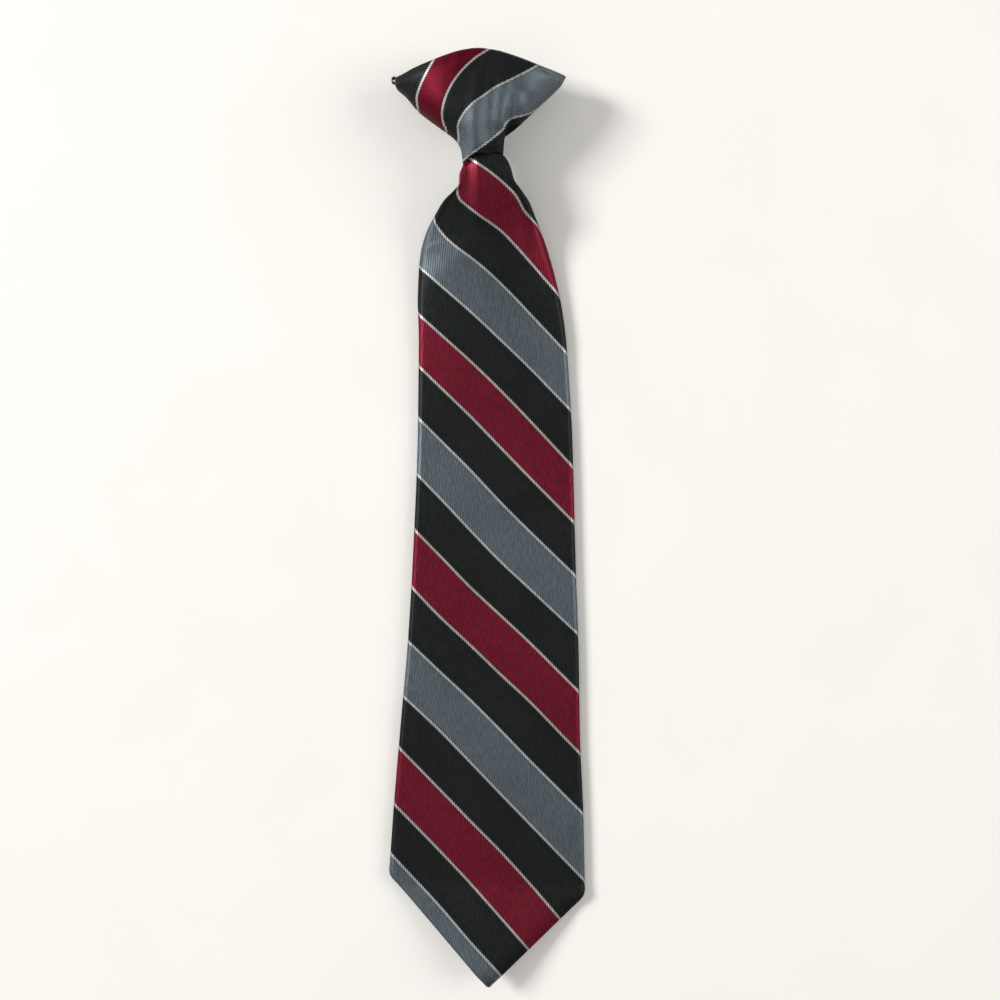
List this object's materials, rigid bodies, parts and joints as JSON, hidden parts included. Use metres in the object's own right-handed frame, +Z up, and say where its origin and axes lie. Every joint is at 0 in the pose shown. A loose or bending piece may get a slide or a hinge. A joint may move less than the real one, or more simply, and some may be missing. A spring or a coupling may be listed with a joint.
{
  "type": "clip-on tie",
  "caption": "Child's ready-tied clip-on tie in striped ribbed cloth, lying on its back, with a bent metal collar clip behind the knot.",
  "frame": {"origin": "middle of the tie's footprint, on the surface that it lies on", "axes": "+Z up, out of the front of the tie; +Y from the point to the knot; +X to the right seen from above"},
  "size_m": [0.0596, 0.2799, 0.0223],
  "materials": {
    "striped_cloth": "satin",
    "clip_steel": "polished"
  },
  "bodies": {
    "root": {"knot": "striped_cloth", "blade": "striped_cloth", "collar_clip": "clip_steel"}
  },
  "joints": []
}
